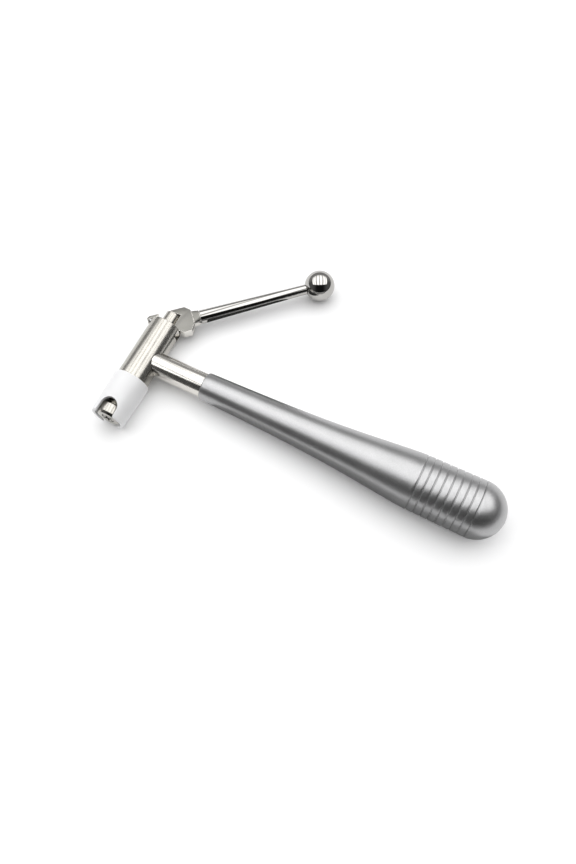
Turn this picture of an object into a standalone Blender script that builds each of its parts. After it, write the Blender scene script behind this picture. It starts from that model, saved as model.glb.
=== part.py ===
"""Hand-held collet puller: a tapered grip, a cross barrel with a collet nose, and a ball lever that pushes a plunger.

Metres, +Z up. The design is laid out about the point where the grip's axis meets the barrel's axis:
+X runs down the grip, +Y to the barrel's rear end. The empty "tool" then puts the origin under the middle.
"""

import math

import bmesh
import bpy
from mathutils import Matrix, Vector

MM = 0.001
GAP = 0.3 * MM  # left between pieces that touch
X_AXIS, Y_AXIS, Z_AXIS = Vector((1, 0, 0)), Vector((0, 1, 0)), Vector((0, 0, 1))

# Grip: radii at even steps along the taper, then a round end.
GRIP_START, GRIP_TAPER_END = 30.2 * MM, 156.2 * MM
GRIP_RADII = [r * MM for r in (6.3, 6.6, 7.05, 7.65, 8.45, 9.5, 10.85, 12.1, 12.35, 12.5)]
GRIP_BAND_RADIUS = 12.4 * MM
GROOVES, GROOVE_PITCH, GROOVE_MIDDLE = 9, 3.2 * MM, 143.2 * MM
GROOVE_WIDTH, GROOVE_DEPTH = 0.6 * MM, 0.35 * MM

# Neck between barrel and grip.
NECK_RADIUS, NECK_END = 5.5 * MM, 58 * MM
SPIGOT_RADIUS, SPIGOT_END = 3.5 * MM, 78 * MM
STUD_RADIUS, STUD_END = 2.0 * MM, 21.5 * MM
GRIP_SCREW_X = 70 * MM

# Barrel, along Y.
BARREL_RADIUS, BARREL_BORE = 7.25 * MM, 5.0 * MM
BARREL_REAR, BARREL_SHOULDER, BARREL_STEP, BARREL_FRONT = 18.6 * MM, -19.4 * MM, -24.2 * MM, -29 * MM
STEP_RADIUS, THREAD_RADIUS, NOSE_BORE = 5.6 * MM, 4.4 * MM, 3.0 * MM
NOSE_BORE_START = -19 * MM
SLOT_HALF, SLOT_FRONT = 2.7 * MM, 14.5 * MM
RING_GROOVE_Y, RING_GROOVE_WIDTH, RING_GROOVE_RADIUS = -16.4 * MM, 2.0 * MM, 6.05 * MM

# White nose sleeve.
SLEEVE_REAR, SLEEVE_FRONT = -11.8 * MM, -32.3 * MM
SLEEVE_REAR_RADIUS, SLEEVE_FRONT_RADIUS = 8.15 * MM, 7.65 * MM
SLEEVE_FRONT_BORE = 6.1 * MM
WINDOW_HALF_WIDTH, WINDOW_APEX = 4.0 * MM, -24.8 * MM

# Collet and its nut.
NUT_RADIUS, NUT_FACE_RADIUS, NUT_REAR, NUT_FRONT = 5.75 * MM, 4.85 * MM, -26.8 * MM, -32.0 * MM
NUT_BEVEL = 1.1 * MM
COLLET_FACE_RADIUS, COLLET_HEAD_RADIUS, COLLET_BORE = 2.5 * MM, 3.3 * MM, 1.2 * MM
COLLET_TAIL_RADIUS, COLLET_TAIL_END, COLLET_SLIT_END = 2.7 * MM, -21.0 * MM, -25.5 * MM
COLLET_SLIT = 0.65 * MM
CONE_GAP = 0.35 * MM

# Plunger train, along Y.
PLUNGER_RADIUS, PLUNGER_REAR, PLUNGER_FRONT = 3.5 * MM, 25.05 * MM, -2.0 * MM
PLUNGER_SLOT = (14.6 * MM, 18.9 * MM)
ROD_RADIUS, ROD_REAR, ROD_FRONT = 1.9 * MM, 6.0 * MM, -17.0 * MM
SHOULDER_RADIUS, SHOULDER = 2.5 * MM, (-5.2 * MM, -2.3 * MM)
PUSHER_RADIUS, PUSHER_REAR, PUSHER_FRONT = 2.6 * MM, -14.4 * MM, -20.7 * MM
REAR_BUSH, FRONT_BUSH = (6.8 * MM, 13.8 * MM), (-18.7 * MM, -15.9 * MM)
BUSH_RADIUS = 4.7 * MM
WASHER_Y, WASHER_THICK = -6.2 * MM, 0.7 * MM
SPRING_RADIUS, SPRING_WIRE, SPRING_TURNS = 3.55 * MM, 0.4 * MM, 5
SPRING_ENDS = (-15.1 * MM, -7.0 * MM)

# Lever. Its own frame has s along the rod and n across it; LEVER_ZERO is that frame's origin.
LEVER_ANGLE = math.radians(43.4)
LEVER_ZERO = Vector((-1.2 * MM, 26.04 * MM, 0))
PLATE_HALF = 2.4 * MM
PIVOT_S, PIVOT_N = -10.3 * MM, -2.3 * MM
PIN_RADIUS, EAR_RADIUS, EAR_THICK = 0.7 * MM, 1.75 * MM, 2.3 * MM
ROD_LINE_N = -6.0 * MM
PLATE_END_S, BOSS_RISE_S, BOSS_END_S = 8.2 * MM, 10.0 * MM, 11.6 * MM
ARM_START_RADIUS, ARM_END_RADIUS = 3.2 * MM, 2.3 * MM
BALL_RADIUS, BALL_S = 7.0 * MM, 68.7 * MM
ARM_SPIGOT_RADIUS = 1.7 * MM
POCKET_X, POCKET_FRONT, POCKET_REAR = (-5.6 * MM, 3.85 * MM), 18.1 * MM, 25.35 * MM


def lever_point(s, n, z=0.0):
    """A point of the lever's frame, in the tool's frame."""
    along = Vector((math.cos(LEVER_ANGLE), math.sin(LEVER_ANGLE), 0))
    across = Vector((-math.sin(LEVER_ANGLE), math.cos(LEVER_ANGLE), 0))
    return LEVER_ZERO + along * s + across * n + Vector((0, 0, z))


PIVOT = lever_point(PIVOT_S, PIVOT_N)
BALL_CENTRE = lever_point(BALL_S, ROD_LINE_N)
LUG_LEFT = lever_point(-11.7 * MM, -0.8 * MM).x


def clear_scene():
    for obj in list(bpy.data.objects):
        bpy.data.objects.remove(obj, do_unlink=True)


def material(name, colour, roughness, metallic):
    made = bpy.data.materials.new(name)
    made.use_nodes = True
    shader = made.node_tree.nodes["Principled BSDF"]
    shader.inputs["Base Color"].default_value = (*colour, 1)
    shader.inputs["Roughness"].default_value = roughness
    shader.inputs["Metallic"].default_value = metallic
    return made


FINISHES = {
    "anodised": ((0.50, 0.50, 0.52), 0.38, 1.0),
    "satin_steel": ((0.66, 0.64, 0.60), 0.25, 1.0),
    "polished_steel": ((0.72, 0.71, 0.69), 0.08, 1.0),
    "matt_steel": ((0.45, 0.44, 0.41), 0.45, 1.0),
    "spring_steel": ((0.40, 0.40, 0.41), 0.30, 1.0),
    "bronze": ((0.62, 0.45, 0.24), 0.35, 1.0),
    "white_plastic": ((0.86, 0.86, 0.86), 0.35, 0.0),
    "black_rubber": ((0.03, 0.03, 0.03), 0.60, 0.0),
}


def empty(name, place, parent=None):
    made = bpy.data.objects.new(name, None)
    bpy.context.scene.collection.objects.link(made)
    made.parent = parent
    made.location = place
    return made


def put(bm, name, finish, holder=None):
    """Makes an object of a mesh laid out in the tool's frame, with its origin on its holder."""
    offset = Vector((0, 0, 0))
    if holder is not None and holder is not TOOL:
        offset = holder.location.copy()
    bmesh.ops.translate(bm, vec=-offset, verts=bm.verts)
    bmesh.ops.recalc_face_normals(bm, faces=bm.faces)
    mesh = bpy.data.meshes.new(name)
    bm.to_mesh(mesh)
    bm.free()
    mesh.shade_smooth()
    mesh.set_sharp_from_angle(angle=math.radians(32))
    made = bpy.data.objects.new(name, mesh)
    bpy.context.scene.collection.objects.link(made)
    made.parent = holder or TOOL
    if finish:
        made.data.materials.append(material(name, *FINISHES[finish]))
    return made


def cutter(bm, name, holder=None):
    made = put(bm, name, None, holder)
    made.hide_render = True
    made.display_type = "WIRE"
    return made


def combine(target, other, operation="DIFFERENCE"):
    boolean = target.modifiers.new(other.name, "BOOLEAN")
    boolean.operation = operation
    boolean.object = other
    boolean.solver = "EXACT"


def turned(profile, axis, segments=40, origin=Vector((0, 0, 0)), closed=False):
    """Spins a profile of (distance along the axis, radius) points. A closed profile makes a ring or a cup."""
    side = axis.orthogonal().normalized()
    if abs(axis.z) < 0.5:
        side = Z_AXIS
    bm = bmesh.new()
    points = [bm.verts.new(origin + axis * along + side * radius) for along, radius in profile]
    count = len(points) if closed else len(points) - 1
    edges = []
    for i in range(count):
        j = (i + 1) % len(points)
        if profile[i][1] > 0 or profile[j][1] > 0:
            edges.append(bm.edges.new((points[i], points[j])))
    bmesh.ops.spin(
        bm, geom=points + edges, cent=origin, axis=axis, angle=2 * math.pi, steps=segments, use_merge=True
    )
    bmesh.ops.remove_doubles(bm, verts=bm.verts, dist=0.001 * MM)
    bmesh.ops.recalc_face_normals(bm, faces=bm.faces)
    return bm


def rod(start, end, radius, axis, segments=24, origin=Vector((0, 0, 0))):
    return turned([(start, 0), (start, radius), (end, radius), (end, 0)], axis, segments, origin)


def box(low, high):
    bm = bmesh.new()
    bmesh.ops.create_cube(bm, size=1)
    size = [b - a for a, b in zip(low, high)]
    middle = [(a + b) / 2 for a, b in zip(low, high)]
    bmesh.ops.scale(bm, vec=size, verts=bm.verts)
    bmesh.ops.translate(bm, vec=middle, verts=bm.verts)
    return bm


def extruded(outline, low, high):
    """A straight prism over an outline of (x, y) points."""
    bm = bmesh.new()
    face = bm.faces.new([bm.verts.new((x, y, low)) for x, y in outline])
    grown = bmesh.ops.extrude_face_region(bm, geom=[face])
    raised = [item for item in grown["geom"] if isinstance(item, bmesh.types.BMVert)]
    bmesh.ops.translate(bm, vec=(0, 0, high - low), verts=raised)
    bmesh.ops.recalc_face_normals(bm, faces=bm.faces)
    return bm


def grip_radius(x):
    """Smooth curve through the taper's radii (Catmull-Rom)."""
    step = (GRIP_TAPER_END - GRIP_START) / (len(GRIP_RADII) - 1)
    place = min(max((x - GRIP_START) / step, 0), len(GRIP_RADII) - 1.0001)
    i = int(place)
    t = place - i
    around = [GRIP_RADII[min(max(i + k, 0), len(GRIP_RADII) - 1)] for k in (-1, 0, 1, 2)]
    a, b, c, d = around
    return b + 0.5 * t * (c - a + t * (2 * a - 5 * b + 4 * c - d + t * (3 * (b - c) + d - a)))


def grip_handle():
    first_groove = GROOVE_MIDDLE - GROOVES // 2 * GROOVE_PITCH
    profile = [(GRIP_START, grip_radius(GRIP_START) - 0.35 * MM)]
    steps = 13
    for i in range(steps):
        x = GRIP_START + 0.35 * MM + (first_groove - GROOVE_PITCH / 2 - GRIP_START) * i / (steps - 1)
        profile.append((x, grip_radius(x)))
    for i in range(GROOVES):
        x = first_groove + i * GROOVE_PITCH
        r = grip_radius(x)
        profile += [(x - GROOVE_WIDTH / 2, r), (x, r - GROOVE_DEPTH), (x + GROOVE_WIDTH / 2, r)]
    end_radius = GRIP_RADII[-1]
    for i in range(11):
        turn = math.radians(9 * i)
        profile.append((GRIP_TAPER_END + end_radius * math.sin(turn), end_radius * math.cos(turn)))
    profile[-1] = (GRIP_TAPER_END + end_radius, 0)
    bore, spigot = NECK_RADIUS + GAP, SPIGOT_RADIUS + GAP
    profile += [(SPIGOT_END + 2 * MM, 0), (SPIGOT_END + GAP, spigot)]
    profile += [(NECK_END + GAP, spigot), (NECK_END + GAP, bore), (GRIP_START, bore)]
    grip = put(turned(profile, X_AXIS, 44, closed=True), "grip_handle", "anodised")
    hole = rod(-9 * MM, -3 * MM, 1.8 * MM, Z_AXIS, 16, Vector((GRIP_SCREW_X, 0, 0)))
    combine(grip, cutter(hole, "grip_screw_hole"))


def grip_set_screw():
    screw = turned(
        [(-7.1 * MM, 0), (-7.1 * MM, 1.5 * MM), (-4.4 * MM, 1.5 * MM), (-3.9 * MM, 1.0 * MM), (-3.9 * MM, 0)],
        Z_AXIS, 16, Vector((GRIP_SCREW_X, 0, 0)),
    )
    screw = put(screw, "grip_set_screw", "spring_steel")
    socket = rod(-7.6 * MM, -5.8 * MM, 0.75 * MM, Z_AXIS, 6, Vector((GRIP_SCREW_X, 0, 0)))
    combine(screw, cutter(socket, "grip_screw_socket"))


def neck():
    profile = [(5.0 * MM, 0), (5.0 * MM, NECK_RADIUS), (NECK_END, NECK_RADIUS), (NECK_END, SPIGOT_RADIUS)]
    profile += [(SPIGOT_END - 0.8 * MM, SPIGOT_RADIUS), (SPIGOT_END, SPIGOT_RADIUS - 0.8 * MM), (SPIGOT_END, 0)]
    bar = put(turned(profile, X_AXIS, 40), "neck_bar", "polished_steel")
    saddle = rod(-9 * MM, 9 * MM, BARREL_RADIUS + GAP, Y_AXIS, 64)
    combine(bar, cutter(saddle, "neck_saddle"))
    bore = rod(0, STUD_END + GAP, STUD_RADIUS + GAP, X_AXIS, 20)
    combine(bar, cutter(bore, "neck_bore"))
    start = BARREL_BORE + GAP
    stud = [(start, 0), (start, STUD_RADIUS - 0.4 * MM), (start + 0.4 * MM, STUD_RADIUS)]
    stud += [(STUD_END, STUD_RADIUS), (STUD_END, 0)]
    put(turned(stud, X_AXIS, 20), "neck_stud", "spring_steel")


def barrel():
    low = RING_GROOVE_Y - RING_GROOVE_WIDTH / 2
    high = RING_GROOVE_Y + RING_GROOVE_WIDTH / 2
    edge = 0.35 * MM
    profile = [
        (BARREL_REAR, BARREL_BORE), (BARREL_REAR, BARREL_RADIUS - edge), (BARREL_REAR - edge, BARREL_RADIUS),
        (high, BARREL_RADIUS), (high, RING_GROOVE_RADIUS), (low, RING_GROOVE_RADIUS), (low, BARREL_RADIUS),
        (BARREL_SHOULDER, BARREL_RADIUS), (BARREL_SHOULDER, STEP_RADIUS), (BARREL_STEP, STEP_RADIUS),
        (BARREL_STEP, THREAD_RADIUS), (BARREL_FRONT, THREAD_RADIUS), (BARREL_FRONT, NOSE_BORE),
        (NOSE_BORE_START, NOSE_BORE), (NOSE_BORE_START, BARREL_BORE),
    ]
    tube = put(turned(profile, Y_AXIS, 56, closed=True), "barrel", "satin_steel")
    ear_top = -SLOT_HALF
    ear = rod(ear_top - EAR_THICK, ear_top, EAR_RADIUS, Z_AXIS, 24, Vector((PIVOT.x, PIVOT.y, 0)))
    combine(tube, cutter(ear, "pivot_ear"), "UNION")
    reach = 12 * MM
    slot = box((-reach, SLOT_FRONT, -SLOT_HALF), (reach, BARREL_REAR + 5 * MM, SLOT_HALF))
    combine(tube, cutter(slot, "lever_slot"))
    pin_hole = rod(-8 * MM, 0, PIN_RADIUS + GAP, Z_AXIS, 16, Vector((PIVOT.x, PIVOT.y, 0)))
    combine(tube, cutter(pin_hole, "pin_hole"))
    stud_hole = rod(3 * MM, 9 * MM, STUD_RADIUS + GAP, X_AXIS, 20)
    combine(tube, cutter(stud_hole, "stud_hole"))
    bush_middle = Vector((0, sum(REAR_BUSH) / 2, 0))
    screw_hole = rod(-9 * MM, -3.9 * MM, 1.2 * MM, Z_AXIS, 16, bush_middle)
    combine(tube, cutter(screw_hole, "bush_screw_hole"))


def sleeve_o_ring():
    inner, outer = RING_GROOVE_RADIUS + GAP, BARREL_RADIUS - 0.05 * MM
    half = RING_GROOVE_WIDTH / 2 - GAP
    middle, reach = (inner + outer) / 2, (outer - inner) / 2
    turns = [math.radians(45 * i + 22.5) for i in range(8)]
    ring = [(RING_GROOVE_Y + half * math.cos(turn), middle + reach * math.sin(turn)) for turn in turns]
    put(turned(ring, Y_AXIS, 36, closed=True), "sleeve_o_ring", "black_rubber")


def bushes():
    for name, (low, high), bore in (
        ("rear_bush", REAR_BUSH, PLUNGER_RADIUS + GAP),
        ("front_bush", FRONT_BUSH, PUSHER_RADIUS + GAP),
    ):
        ring = [(low, bore), (low, BUSH_RADIUS), (high, BUSH_RADIUS), (high, bore)]
        put(turned(ring, Y_AXIS, 32, closed=True), name, "bronze")
    middle = Vector((0, sum(REAR_BUSH) / 2, 0))
    screw = [(-7.0 * MM, 0), (-7.0 * MM, 0.9 * MM), (-BUSH_RADIUS - GAP, 0.9 * MM), (-BUSH_RADIUS - GAP, 0)]
    put(turned(screw, Z_AXIS, 12, middle), "bush_screw", "spring_steel")


def nose_sleeve():
    bore, round_edge = BARREL_RADIUS + GAP, 0.5 * MM
    step = BARREL_SHOULDER - GAP
    profile = [
        (SLEEVE_REAR, bore), (SLEEVE_REAR, SLEEVE_REAR_RADIUS - 0.25 * MM),
        (SLEEVE_REAR - round_edge, SLEEVE_REAR_RADIUS), (-22 * MM, SLEEVE_REAR_RADIUS - 0.1 * MM),
        (SLEEVE_FRONT + round_edge, SLEEVE_FRONT_RADIUS), (SLEEVE_FRONT, SLEEVE_FRONT_RADIUS - round_edge),
        (SLEEVE_FRONT, SLEEVE_FRONT_BORE), (step, SLEEVE_FRONT_BORE), (step, bore),
    ]
    sleeve = put(turned(profile, Y_AXIS, 56, closed=True), "nose_sleeve", "white_plastic")
    centre = WINDOW_APEX - WINDOW_HALF_WIDTH
    outline = [(WINDOW_HALF_WIDTH, -40 * MM), (-WINDOW_HALF_WIDTH, -40 * MM)]
    for i in range(17):
        turn = math.pi - math.pi * i / 16
        outline.append((WINDOW_HALF_WIDTH * math.cos(turn), centre + WINDOW_HALF_WIDTH * math.sin(turn)))
    window = extruded(outline, -12 * MM, 12 * MM)
    combine(sleeve, cutter(window, "sleeve_window"))


def collet_nut():
    cone_rear = BARREL_FRONT - GAP
    profile = [
        (NUT_REAR, THREAD_RADIUS + GAP), (NUT_REAR, NUT_RADIUS - 0.3 * MM), (NUT_REAR - 0.3 * MM, NUT_RADIUS),
        (NUT_FRONT + NUT_BEVEL, NUT_RADIUS), (NUT_FRONT, NUT_FACE_RADIUS),
        (NUT_FRONT, COLLET_FACE_RADIUS + CONE_GAP), (cone_rear, COLLET_HEAD_RADIUS + CONE_GAP),
        (cone_rear, THREAD_RADIUS + GAP),
    ]
    put(turned(profile, Y_AXIS, 48, closed=True), "collet_nut", "satin_steel", NUT_AXIS)


def collet():
    head_rear = BARREL_FRONT - GAP
    profile = [
        (COLLET_TAIL_END, COLLET_BORE), (COLLET_TAIL_END, COLLET_TAIL_RADIUS), (head_rear, COLLET_TAIL_RADIUS),
        (head_rear, COLLET_HEAD_RADIUS), (NUT_FRONT, COLLET_FACE_RADIUS), (NUT_FRONT, COLLET_BORE),
    ]
    jaws = put(turned(profile, Y_AXIS, 36, closed=True), "collet", "satin_steel", PLUNGER_AXIS)
    reach = 5 * MM
    for i in range(3):
        slit = box((-COLLET_SLIT / 2, NUT_FRONT - MM, -reach), (COLLET_SLIT / 2, COLLET_SLIT_END, reach))
        bmesh.ops.rotate(slit, verts=slit.verts, matrix=Matrix.Rotation(math.radians(60 * i), 3, "Y"))
        combine(jaws, cutter(slit, f"collet_slit_{i}", PLUNGER_AXIS))


def plunger():
    edge = 0.35 * MM
    bore = ROD_RADIUS + GAP
    profile = [
        (PLUNGER_REAR, 0), (PLUNGER_REAR, PLUNGER_RADIUS - edge), (PLUNGER_REAR - edge, PLUNGER_RADIUS),
        (PLUNGER_FRONT, PLUNGER_RADIUS), (PLUNGER_FRONT, bore), (ROD_REAR + GAP, bore), (ROD_REAR + GAP, 0),
    ]
    head = put(turned(profile, Y_AXIS, 36), "plunger", "satin_steel", PLUNGER_AXIS)
    low, high = PLUNGER_SLOT
    slot = box((-6 * MM, low, -SLOT_HALF), (6 * MM, high, SLOT_HALF))
    combine(head, cutter(slot, "plunger_slot", PLUNGER_AXIS))
    rear, front = SHOULDER[1], SHOULDER[0]
    rod_profile = [
        (ROD_REAR, 0), (ROD_REAR, ROD_RADIUS), (rear, ROD_RADIUS), (rear, SHOULDER_RADIUS),
        (front, SHOULDER_RADIUS), (front, ROD_RADIUS), (ROD_FRONT, ROD_RADIUS), (ROD_FRONT, 0),
    ]
    put(turned(rod_profile, Y_AXIS, 24), "push_rod", "spring_steel", PLUNGER_AXIS)
    washer = [(WASHER_Y, ROD_RADIUS + GAP), (WASHER_Y, 4.4 * MM)]
    washer += [(WASHER_Y + WASHER_THICK, 4.4 * MM), (WASHER_Y + WASHER_THICK, ROD_RADIUS + GAP)]
    put(turned(washer, Y_AXIS, 28, closed=True), "spring_washer", "spring_steel", PLUNGER_AXIS)
    cap = [
        (PUSHER_REAR, bore), (PUSHER_REAR, PUSHER_RADIUS), (PUSHER_FRONT + 0.4 * MM, PUSHER_RADIUS),
        (PUSHER_FRONT, PUSHER_RADIUS - 0.4 * MM), (PUSHER_FRONT, 0), (ROD_FRONT - GAP, 0), (ROD_FRONT - GAP, bore),
    ]
    put(turned(cap, Y_AXIS, 24, closed=True), "collet_pusher", "spring_steel", PLUNGER_AXIS)


def return_spring():
    low, high = SPRING_ENDS
    curve = bpy.data.curves.new("return_spring", "CURVE")
    curve.dimensions = "3D"
    curve.bevel_depth = SPRING_WIRE
    curve.bevel_resolution = 1
    curve.use_fill_caps = True
    steps = SPRING_TURNS * 14
    spline = curve.splines.new("POLY")
    spline.points.add(steps)
    for i in range(steps + 1):
        turn = 2 * math.pi * SPRING_TURNS * i / steps
        y = low + (high - low) * i / steps - PLUNGER_FRONT
        spline.points[i].co = (SPRING_RADIUS * math.cos(turn), y, SPRING_RADIUS * math.sin(turn), 1)
    made = bpy.data.objects.new("return_spring", curve)
    bpy.context.scene.collection.objects.link(made)
    made.parent = PLUNGER_AXIS
    made.data.materials.append(material("return_spring", *FINISHES["spring_steel"]))


def lever_head():
    """Plate with a lug for the pivot, a pocket round the plunger's end, and a boss for the rod."""
    outline = [
        (-11.7, -0.8), (-11.8, -3.7), (-10.9, -4.9), (-10.1, -5.3), (-1.7, -11.25), (0.3, -11.0),
        (2.6, -12.8), (6.2, -12.9), (8.2, -9.8), (8.2, -2.3), (5.8, 0.0), (-10.5, 0.0),
    ]
    points = [lever_point(s * MM, n * MM) for s, n in outline]
    plate = put(extruded([(p.x, p.y) for p in points], -PLATE_HALF, PLATE_HALF), "lever_head", "matt_steel", LEVER)
    left, right = POCKET_X
    pocket = [(left, POCKET_FRONT), (right, POCKET_FRONT), (right, POCKET_REAR + 0.4 * MM)]
    pocket += [(0.3 * MM, POCKET_REAR), (-1.7 * MM, POCKET_REAR)]
    pocket += [(-1.7 * MM, 32 * MM), (left, 32 * MM)]
    combine(plate, cutter(extruded(pocket, -4 * MM, 4 * MM), "plunger_pocket", LEVER))
    combine(plate, cutter(lever_boss(), "lever_boss", LEVER), "UNION")
    socket_end = BOSS_END_S + MM
    socket = lofted([(9.0 * MM, 2.0 * MM, 2.0 * MM, 2), (socket_end, 2.0 * MM, 2.0 * MM, 2)], 16)
    combine(plate, cutter(socket, "rod_socket", LEVER))
    hole = rod(-4 * MM, 4 * MM, PIN_RADIUS + GAP, Z_AXIS, 16, Vector((PIVOT.x, PIVOT.y, 0)))
    combine(plate, cutter(hole, "lug_hole", LEVER))


def lofted(sections, sides):
    """Skins a row of superellipse sections (s, half width, half height, power) on the rod's line."""
    bm = bmesh.new()
    rings = []
    for s, half_width, half_height, power in sections:
        ring = []
        for i in range(sides):
            turn = 2 * math.pi * (i + 0.5) / sides
            c, d = math.cos(turn), math.sin(turn)
            n = half_width * math.copysign(abs(c) ** (2 / power), c)
            z = half_height * math.copysign(abs(d) ** (2 / power), d)
            ring.append(bm.verts.new(lever_point(s, ROD_LINE_N + n, z)))
        rings.append(ring)
    for first, second in zip(rings, rings[1:]):
        for i in range(sides):
            j = (i + 1) % sides
            bm.faces.new((first[i], first[j], second[j], second[i]))
    bm.faces.new(rings[0])
    bm.faces.new(rings[-1][::-1])
    bmesh.ops.recalc_face_normals(bm, faces=bm.faces)
    return bm


def lever_boss():
    """Rises from the plate's thickness to the rod's round end."""
    return lofted(
        [
            (6.4 * MM, 3.3 * MM, 1.2 * MM, 8), (PLATE_END_S, 3.4 * MM, 2.3 * MM, 6),
            (BOSS_RISE_S, 3.3 * MM, 2.9 * MM, 3), (BOSS_END_S, ARM_START_RADIUS, ARM_START_RADIUS, 2),
        ],
        24,
    )


def lever_arm():
    along = (BALL_CENTRE - lever_point(0, ROD_LINE_N)).normalized()
    start = lever_point(0, ROD_LINE_N)
    seat = BALL_S - math.sqrt(BALL_RADIUS**2 - ARM_END_RADIUS**2) - GAP
    profile = [
        (9.3 * MM, 0), (9.3 * MM, ARM_SPIGOT_RADIUS), (BOSS_END_S + GAP, ARM_SPIGOT_RADIUS),
        (BOSS_END_S + GAP, ARM_START_RADIUS), (seat, ARM_END_RADIUS), (seat, ARM_SPIGOT_RADIUS),
        (BALL_S - 1.5 * MM, ARM_SPIGOT_RADIUS), (BALL_S - 1.5 * MM, 0),
    ]
    put(turned(profile, along, 28, start), "lever_rod", "polished_steel", LEVER)
    bore = ARM_SPIGOT_RADIUS + GAP
    open_turn = math.asin(bore / BALL_RADIUS)
    steps = 16
    ball = []
    for i in range(steps + 1):
        turn = open_turn + (math.pi - open_turn) * i / steps
        ball.append((BALL_S - BALL_RADIUS * math.cos(turn), BALL_RADIUS * math.sin(turn)))
    ball[-1] = (BALL_S + BALL_RADIUS, 0)
    ball += [(BALL_S - 1.2 * MM, 0), (BALL_S - 1.2 * MM, bore)]
    put(turned(ball, along, 32, start, closed=True), "ball_knob", "polished_steel", LEVER)


def pivot_pin():
    under = -SLOT_HALF - EAR_THICK - GAP
    profile = [
        (under - 0.8 * MM, 0), (under - 0.8 * MM, 1.3 * MM), (under - 0.5 * MM, 1.6 * MM), (under, 1.6 * MM),
        (under, PIN_RADIUS), (PLATE_HALF + 0.15 * MM, PIN_RADIUS), (PLATE_HALF + 0.3 * MM, 0.45 * MM),
        (PLATE_HALF + 0.3 * MM, 0),
    ]
    put(turned(profile, Z_AXIS, 20, Vector((PIVOT.x, PIVOT.y, 0))), "pivot_pin", "spring_steel")


clear_scene()
LOW_X, HIGH_X = LUG_LEFT, GRIP_TAPER_END + GRIP_RADII[-1]
LOW_Y, HIGH_Y = SLEEVE_FRONT, BALL_CENTRE.y + BALL_RADIUS
TOOL = empty("tool", (-(LOW_X + HIGH_X) / 2, -(LOW_Y + HIGH_Y) / 2, GRIP_RADII[-1]))
LEVER = empty("lever_pivot", PIVOT, TOOL)
PLUNGER_AXIS = empty("plunger_axis", (0, PLUNGER_FRONT, 0), TOOL)
NUT_AXIS = empty("nut_axis", (0, NUT_FRONT, 0), TOOL)

barrel()
neck()
grip_handle()
grip_set_screw()
sleeve_o_ring()
bushes()
nose_sleeve()
pivot_pin()
collet_nut()
collet()
plunger()
return_spring()
lever_head()
lever_arm()
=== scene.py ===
"""Hand-held collet puller on a white table: satin grip, polished neck and lever, white nose sleeve."""

import math

import bmesh
import bpy
from mathutils import Matrix, Vector


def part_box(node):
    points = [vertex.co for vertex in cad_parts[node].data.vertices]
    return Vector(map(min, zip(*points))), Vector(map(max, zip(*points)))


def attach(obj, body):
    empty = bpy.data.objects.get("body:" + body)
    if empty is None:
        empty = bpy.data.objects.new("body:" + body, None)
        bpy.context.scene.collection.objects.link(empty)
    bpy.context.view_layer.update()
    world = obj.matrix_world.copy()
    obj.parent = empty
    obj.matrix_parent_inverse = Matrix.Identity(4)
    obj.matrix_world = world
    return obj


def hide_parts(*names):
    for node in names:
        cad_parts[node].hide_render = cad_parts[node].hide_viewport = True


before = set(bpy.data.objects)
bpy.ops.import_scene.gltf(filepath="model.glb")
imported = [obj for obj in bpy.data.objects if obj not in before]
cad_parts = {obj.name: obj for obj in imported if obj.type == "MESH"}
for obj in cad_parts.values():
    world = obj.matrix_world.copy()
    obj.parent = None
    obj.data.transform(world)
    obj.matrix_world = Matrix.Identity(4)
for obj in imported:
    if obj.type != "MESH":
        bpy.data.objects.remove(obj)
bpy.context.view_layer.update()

MM = 0.001
GAP = 0.3
X_AXIS, Y_AXIS, Z_AXIS = Vector((1, 0, 0)), Vector((0, 1, 0)), Vector((0, 0, 1))

# The layout below is in millimetres about the point where the grip's and the barrel's axes meet.
SLEEVE_FRONT = -32.3
sleeve_low, sleeve_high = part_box("nose_sleeve")
HUB = Vector((
    (sleeve_low.x + sleeve_high.x) / 2, sleeve_low.y - SLEEVE_FRONT * MM, (sleeve_low.z + sleeve_high.z) / 2
))

# Camera and table.
CAMERA_AZIMUTH, CAMERA_ELEVATION, CAMERA_ROLL = 27.546, 67.316, -1.202
CAMERA_PLACE = Vector((128.64, -111.19, 290.73))
FOCAL_PIXELS, LONG_SIDE_PIXELS, SENSOR = 739.73, 864, 36.0
TABLE_HEIGHT, TABLE_SLOPE_X, TABLE_SLOPE_Y = -7.75, -0.0308, 0.0337
TABLE_GLOW = 0.07

# Painted shade: dark cards on the table that only reflections show, standing in for the shaded table near
# the pieces; one in front of the grip, and one in front of the rod, placed as the lever is.
GRIP_SHADE_CARD = ((34, -4), (34, -60), (175, -60), (175, -8))
ROD_SHADE_CARD = ((14, -8), (14, -48), (54, -48), (54, -8))
SHADE_CARD_LIFT, GRIP_SHADE_CARD_TONE, ROD_SHADE_CARD_TONE = 0.3, 0.28, 0.03

# Studio: places on the overhead panel are in units of its height, across the view and away from the
# camera. Each gap between its strips has a place, a half width and a depth.
PANEL_FRONT, PANEL_REAR, PANEL_LEFT, PANEL_RIGHT, PANEL_CURVE = -0.50, 1.35, -1.35, 1.35, 0.10
PANEL_GAPS = (
    (-0.95, 0.10, 0.6), (-0.48, 0.12, 0.8), (-0.03, 0.09, 0.7), (0.42, 0.12, 0.8), (0.90, 0.10, 0.6),
)
PANEL_LIGHT, PANEL_FADE, WALL_LIGHT, SIDE_LIGHT, ROOM_LIGHT = 2.6, 0.45, 0.36, 0.12, 0.012

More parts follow.
